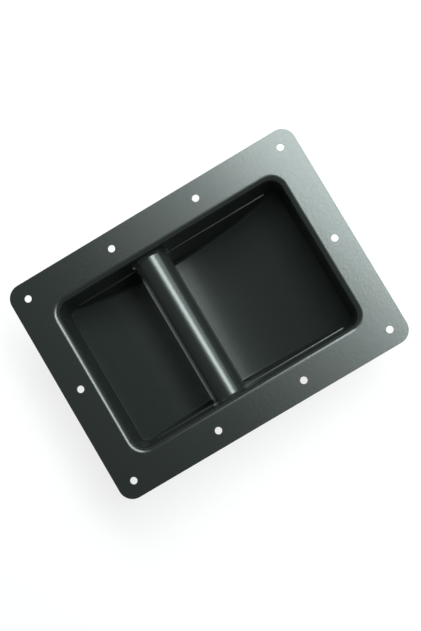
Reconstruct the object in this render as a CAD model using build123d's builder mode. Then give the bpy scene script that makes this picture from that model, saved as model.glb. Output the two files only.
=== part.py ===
"""Recessed bar handle for a flight case or loudspeaker cabinet, in millimetres.

A rectangular tray is deep-drawn from one steel sheet: a flat screw-on flange, a rolled lip,
drafted walls and a floor that curves under the grip.  A round steel tube, the bar, spans the
short way and is welded between the two long walls.

Frame: origin at the middle of the flange's back face, the face that lies on the cabinet.
+Z points out of the cabinet, +X along the flange, +Y along the bar.
"""

import os
from math import cos, radians, sin, tan

from build123d import *

# ---- driving dimensions -------------------------------------------------------------------

sheet = 1.5                 # thickness of the drawn steel sheet

mouth_length = 173.2        # along X, between the end walls where they would meet the face
mouth_width = 113.2         # along Y, the same between the long walls
draft = 5.5                 # lean of every wall, in degrees
foot_corner = 2.6           # plan radius that is left between two walls at full depth
lip_radius = 4.5            # roll from the flange's face into the walls

dish_depth = 66.0           # from the flange's face to the lowest point of the floor
floor_radius = 110.0        # the floor is an arc about an axis along Y
floor_fillet = 3.0          # between the floor and the walls, on the hand's side

swage_depth = 28.0          # a narrow swage line stiffens each long wall at this depth
swage_radius = 0.8          # its half-round section
swage_length = 150.0        # it dies out where the floor comes up to it

end_border = 24.4           # flange beyond the mouth at each end
side_border = 25.9          # flange beyond the mouth along each long side
flange_corner = 10.0        # radius of the flange's outer corners

screw_inset_x = 12.0        # from the flange's short edges to the screws' centres
screw_inset_y = 11.5        # from its long edges
screw_columns = 4           # along each long side
screw_hole = 5.0            # diameter, for a pan-head cabinet screw

bar_diameter = 25.0
bar_wall = 2.0
bar_offset = -15.0          # the bar sits to one side, to leave the hand more room
bar_below_face = 20.0       # from the flange's face to the bar's axis
weld_leg = 1.5              # fillet weld round each end of the bar
weld_slope = 40.0           # lean of its face, in degrees

# ---- what follows from them ---------------------------------------------------------------

flange_length = mouth_length + 2 * end_border
flange_width = mouth_width + 2 * side_border
mouth_corner = foot_corner + dish_depth * tan(radians(draft))
screw_span_x = flange_length - 2 * screw_inset_x
screw_span_y = flange_width - 2 * screw_inset_y
bar_z = sheet - bar_below_face
bar_foot = bar_diameter + 2 * weld_leg      # across the weld where it meets the wall


def bowl(skin):
    """Form under the flange's face: the hand's space, or the tray's outside where skin is sheet."""
    length = mouth_length + 2 * skin / cos(radians(draft))
    width = mouth_width + 2 * skin / cos(radians(draft))

    with BuildPart() as form:
        # walls, leaning in as they go down
        with BuildSketch(Plane.XY.offset(sheet)):
            RectangleRounded(length, width, mouth_corner + skin)
        extrude(amount=-(dish_depth + skin), taper=draft)

        # the floor, as part of a drum that lies along Y
        with BuildSketch(Plane.XZ):
            with Locations((0, sheet - dish_depth + floor_radius)):
                Circle(floor_radius + skin)
        extrude(amount=flange_width, both=True, mode=Mode.INTERSECT)

        # the rounding right round the foot of the walls
        floor = form.faces().sort_by(Axis.Z)[0]
        fillet(floor.edges(), radius=floor_fillet + skin)

    return form.part


# ---- swage lines: a half-round ridge along each long wall, broken where the bar is welded -----

with BuildPart() as swages:
    swage_y = mouth_width / 2 - swage_depth * tan(radians(draft))
    with Locations((0, swage_y, sheet - swage_depth), (0, -swage_y, sheet - swage_depth)):
        Cylinder(swage_radius, swage_length, rotation=(0, 90, 0))
    with BuildSketch(Plane.XZ):
        with Locations((bar_offset, bar_z)):
            Circle(bar_foot / 2)
    extrude(amount=mouth_width / 2, both=True, mode=Mode.SUBTRACT)

# ---- tray: flange, lip, walls and floor drawn from one sheet ---------------------------------

with BuildPart() as tray:
    with BuildSketch():
        RectangleRounded(flange_length, flange_width, flange_corner)
    extrude(amount=sheet)
    add(bowl(sheet))

    # back of the lip's roll, then the hand's space, then the roll on the face
    back_of_lip = tray.faces().filter_by(Plane.XY).sort_by(SortBy.AREA)[-2].inner_wires()[0]
    fillet(back_of_lip.edges(), radius=lip_radius - sheet)
    add(bowl(0), mode=Mode.SUBTRACT)
    face_of_lip = tray.faces().sort_by(Axis.Z)[-1].inner_wires()[0]
    fillet(face_of_lip.edges(), radius=lip_radius)

    add(swages.part)

    # fixing holes: two long rows, and one more in the middle of each short side
    with GridLocations(screw_span_x / (screw_columns - 1), screw_span_y, screw_columns, 2):
        Hole(screw_hole / 2)
    with GridLocations(screw_span_x, 0, 2, 1):
        Hole(screw_hole / 2)

tray.part.label = "tray"

# ---- bar: tube cut to the lean of the long walls, with a weld round each end ------------------

with BuildPart() as bar:
    with BuildSketch(Plane.XZ):
        with Locations((bar_offset, bar_z)):
            Circle(bar_diameter / 2)
    extrude(amount=mouth_width / 2, both=True)
    add(bowl(0), mode=Mode.INTERSECT)

    # fillet weld, laid on the wall: a low cone that runs up onto the tube
    wall_y = mouth_width / 2 - bar_below_face * tan(radians(draft))
    lean = (0, -cos(radians(draft)), sin(radians(draft)))
    wall = Plane(origin=(bar_offset, wall_y, bar_z), x_dir=(1, 0, 0), z_dir=lean)
    with BuildSketch(wall):
        Circle(bar_foot / 2)
    extrude(amount=weld_leg, taper=weld_slope)
    mirror(about=Plane.XZ)

    # the tube's bore
    with BuildSketch(Plane.XZ):
        with Locations((bar_offset, bar_z)):
            Circle(bar_diameter / 2 - bar_wall)
    extrude(amount=mouth_width / 2, both=True, mode=Mode.SUBTRACT)

bar.part.label = "bar"

# ---- files --------------------------------------------------------------------------------

os.makedirs("parts", exist_ok=True)
export_step(tray.part, "parts/tray.step")
export_step(bar.part, "parts/bar.step")
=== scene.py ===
from math import pi, radians

import bpy
from mathutils import Matrix, Vector


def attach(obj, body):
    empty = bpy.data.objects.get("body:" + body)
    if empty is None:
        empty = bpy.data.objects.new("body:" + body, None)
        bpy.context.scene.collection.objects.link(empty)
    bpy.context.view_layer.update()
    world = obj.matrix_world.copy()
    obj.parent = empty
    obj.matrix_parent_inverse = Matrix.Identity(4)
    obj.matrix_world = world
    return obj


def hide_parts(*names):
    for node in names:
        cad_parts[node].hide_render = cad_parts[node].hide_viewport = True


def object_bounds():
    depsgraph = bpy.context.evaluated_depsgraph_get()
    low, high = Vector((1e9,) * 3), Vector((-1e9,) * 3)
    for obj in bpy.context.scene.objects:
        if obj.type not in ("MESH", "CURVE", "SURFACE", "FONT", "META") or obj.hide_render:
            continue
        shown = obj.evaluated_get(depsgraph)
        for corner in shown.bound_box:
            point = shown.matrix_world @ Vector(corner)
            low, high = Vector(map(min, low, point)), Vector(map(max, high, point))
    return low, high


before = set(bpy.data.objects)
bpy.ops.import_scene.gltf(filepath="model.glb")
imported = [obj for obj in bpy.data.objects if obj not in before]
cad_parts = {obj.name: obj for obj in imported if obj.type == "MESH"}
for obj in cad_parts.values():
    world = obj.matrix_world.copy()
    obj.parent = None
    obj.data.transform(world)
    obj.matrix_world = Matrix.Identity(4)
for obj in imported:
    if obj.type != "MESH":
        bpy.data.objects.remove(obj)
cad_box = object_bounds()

# ---- Tray -----------------------------------------------------------------------------------
# One sheet of 1.5 mm steel, deep-drawn into a dish with a flat screw flange, then powder coated.
# The dish is carried by its flange, which is screwed to the face of the cabinet.


def srgb(code):
    """A hex colour as the linear values that a shader works in."""
    channels = [int(code[i:i + 2], 16) / 255 for i in (1, 3, 5)]
    linear = [c / 12.92 if c <= 0.04045 else ((c + 0.055) / 1.055) ** 2.4 for c in channels]
    return (*linear, 1.0)


def add_node(tree, kind, settings=None, links=None):
    """A shader node with its settings by socket or property name, and links into its sockets."""
    node = tree.nodes.new(kind)
    for name, value in (settings or {}).items():
        if name in node.inputs:
            node.inputs[name].default_value = value
        else:
            setattr(node, name, value)
    for name, source in (links or {}).items():
        tree.links.new(source, node.inputs[name])
    return node


def powder_coat(name):
    """Satin black polyester powder coat on steel: it flows out as it is baked, which leaves a
    faint orange peel about 2 mm across and a finer grain, and a soft, slightly broken gloss."""
    peel_mm = 2.0
    grain_mm = 0.35
    peel_height = 0.0001
    grain_height = 0.00003
    material = bpy.data.materials.new(name)
    material.use_nodes = True
    tree = material.node_tree
    tree.nodes.clear()
    place = add_node(tree, "ShaderNodeTexCoord")
    peel = add_node(tree, "ShaderNodeTexNoise", {"Scale": 1000 / peel_mm, "Detail": 2.0},
                    {"Vector": place.outputs["Object"]})
    grain = add_node(tree, "ShaderNodeTexNoise", {"Scale": 1000 / grain_mm, "Detail": 3.0},
                     {"Vector": place.outputs["Object"]})
    colour = add_node(tree, "ShaderNodeValToRGB", links={"Fac": grain.outputs["Fac"]})
    colour.color_ramp.elements[0].position = 0.3
    colour.color_ramp.elements[0].color = srgb("#191c1b")
    colour.color_ramp.elements[1].position = 0.7
    colour.color_ramp.elements[1].color = srgb("#1e2120")
    gloss = add_node(tree, "ShaderNodeMapRange", {"To Min": 0.20, "To Max": 0.25},
                     {"Value": peel.outputs["Fac"]})
    peel_bump = add_node(tree, "ShaderNodeBump", {"Strength": 0.34, "Distance": peel_height},
                         {"Height": peel.outputs["Fac"]})
    grain_bump = add_node(tree, "ShaderNodeBump", {"Strength": 0.2, "Distance": grain_height},
                          {"Height": grain.outputs["Fac"], "Normal": peel_bump.outputs["Normal"]})
    shader = add_node(tree, "ShaderNodeBsdfPrincipled", {"IOR": 1.5},
                      {"Base Color": colour.outputs["Color"], "Roughness": gloss.outputs["Result"],
                       "Normal": grain_bump.outputs["Normal"]})
    add_node(tree, "ShaderNodeOutputMaterial", links={"Surface": shader.outputs["BSDF"]})
    return material


def deselect():
    bpy.ops.object.select_all(action="DESELECT")


def smooth_copy(node, name, crease_degrees):
    """A copy of a drawn node with its facets merged and shaded as one flowing surface."""
    same_point = 0.000005
    deselect()
    piece = node.copy()
    piece.data = node.data.copy()
    piece.name = name
    piece.parent = None
    bpy.context.scene.collection.objects.link(piece)
    piece.matrix_world = node.matrix_world
    piece.select_set(True)
    bpy.context.view_layer.objects.active = piece
    bpy.ops.mesh.customdata_custom_splitnormals_clear()
    bpy.ops.object.mode_set(mode="EDIT")
    bpy.ops.mesh.select_all(action="SELECT")
    bpy.ops.mesh.remove_doubles(threshold=same_point)
    bpy.ops.mesh.select_mode(type="EDGE")
    bpy.ops.mesh.select_all(action="DESELECT")
    bpy.ops.mesh.edges_select_sharp(sharpness=radians(crease_degrees))
    bpy.ops.mesh.mark_sharp()
    bpy.ops.object.mode_set(mode="OBJECT")
    bpy.ops.object.shade_smooth()
    bpy.ops.object.modifier_add(type="WEIGHTED_NORMAL")
    weighted = piece.modifiers[-1]
    weighted.keep_sharp = True
    weighted.weight = 100
    bpy.ops.object.modifier_apply(modifier=weighted.name)
    return piece


coat = powder_coat("satin black powder coat")
crease = 40  # degrees: a fold sharper than this keeps its edge

tray = smooth_copy(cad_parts["tray"], "drawn_tray", crease)
tray.data.materials.clear()
tray.data.materials.append(coat)
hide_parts("tray")
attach(tray, "root")

# ---- Bar ------------------------------------------------------------------------------------
# Round steel tube, 25 mm across, that the hand closes round.  Its ends are cut to the lean of the
# long walls and welded to them before the coating goes on.

bar = smooth_copy(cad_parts["bar"], "grip_bar", crease)
bar.data.materials.clear()
bar.data.materials.append(coat)
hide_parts("bar")
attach(bar, "root")

# ---- Table, light and camera ----------------------------------------------------------------
# The handle rests on its dish on a white laminate table, hung round with white cloth.  One large
# softbox lies level above it, to the right and behind, and the rest of the room is dim.

low, high = cad_box
table_z = low[2]
face_z = high[2]
table_size = 6.0
cloth_height = 0.45  # low enough that the bar doesn't mirror it


def white_table():
    """Matt white; the camera, gloss and glass see it nearly evenly white, the shadow kept."""
    evenness = 0.8
    material = bpy.data.materials.new("matt white table")
    material.use_nodes = True
    tree = material.node_tree
    tree.nodes.clear()
    matt = add_node(tree, "ShaderNodeBsdfDiffuse", {"Color": srgb("#f2f2f2")})
    glow = add_node(tree, "ShaderNodeEmission", {"Color": (1, 1, 1, 1), "Strength": 1.0})
    path = add_node(tree, "ShaderNodeLightPath")
    camera_or_gloss = add_node(tree, "ShaderNodeMath", {"operation": "MAXIMUM"},
                               {0: path.outputs["Is Camera Ray"],
                                1: path.outputs["Is Glossy Ray"]})
    seen = add_node(tree, "ShaderNodeMath", {"operation": "MAXIMUM"},
                    {0: camera_or_gloss.outputs[0], 1: path.outputs["Is Transmission Ray"]})
    share = add_node(tree, "ShaderNodeMath", {"operation": "MULTIPLY"}, {0: seen.outputs[0]})
    share.inputs[1].default_value = evenness
    mix = add_node(tree, "ShaderNodeMixShader", links={"Fac": share.outputs[0]})
    tree.links.new(matt.outputs[0], mix.inputs[1])
    tree.links.new(glow.outputs[0], mix.inputs[2])
    add_node(tree, "ShaderNodeOutputMaterial", links={"Surface": mix.outputs[0]})
    return material


deselect()
bpy.ops.mesh.primitive_plane_add(size=table_size, location=(0, 0, table_z))
table = bpy.context.object
table.name = "table"
bpy.ops.object.transform_apply(location=True, rotation=False, scale=False)
white = white_table()
table.data.materials.append(white)

deselect()
bpy.ops.mesh.primitive_cylinder_add(vertices=96, radius=table_size / 2, depth=cloth_height,
                                    end_fill_type="NOTHING",
                                    location=(0, 0, table_z + cloth_height / 2))
backdrop = bpy.context.object
backdrop.name = "backdrop"
bpy.ops.object.transform_apply(location=True, rotation=False, scale=False)
backdrop.data.materials.append(white)

scene = bpy.context.scene
scene.world = bpy.data.worlds.new("pale room")
scene.world.use_nodes = True
room = scene.world.node_tree.nodes["Background"]
room.inputs["Color"].default_value = (1, 1, 1, 1)
room.inputs["Strength"].default_value = 0.12


def softbox_strip(name, left, right, radiance):
    """One strip of the softbox, with the radiance of its lit face."""
    near, far, height = -0.30, 0.60, 0.75
    turn = radians(15)
    lamp = bpy.data.lights.new(name, "AREA")
    lamp.shape = "RECTANGLE"
    lamp.size = right - left
    lamp.size_y = far - near
    lamp.energy = radiance * lamp.size * lamp.size_y * pi
    lamp.color = (0.87, 1.0, 0.97)  # slightly cool
    holder = bpy.data.objects.new(name, lamp)
    middle = Vector(((left + right) / 2, (near + far) / 2, height))
    middle.rotate(Matrix.Rotation(turn, 3, "Z"))
    holder.location = middle
    holder.rotation_euler = (0, 0, turn)
    scene.collection.objects.link(holder)


# left edge, right edge and radiance: three strips of feathered edge, the bright middle, and the
# dimmer cloth beyond it
strips = [
    (-0.03, 0.04, 1.2),
    (0.04, 0.11, 2.4),
    (0.11, 0.18, 3.5),
    (0.18, 0.50, 16.5),
    (0.50, 1.40, 3.5),
]
for number, (left, right, radiance) in enumerate(strips):
    softbox_strip(f"softbox_{number}", left, right, radiance)

# the camera looks almost straight down from 0.73 m above the flange
camera_data = bpy.data.cameras.new("camera")
camera_data.lens = 62.76
camera_data.sensor_width = 36.0
camera_data.shift_x = -0.0158
camera_data.shift_y = 0.0666
camera_data.clip_start = 0.01
camera = bpy.data.objects.new("camera", camera_data)
camera.location = (0.02411, -0.06940, 0.73273 + face_z)
camera.rotation_euler = (radians(1.432), radians(3.671), radians(-30.586))
scene.collection.objects.link(camera)
scene.camera = camera

scene.view_settings.view_transform = "Standard"
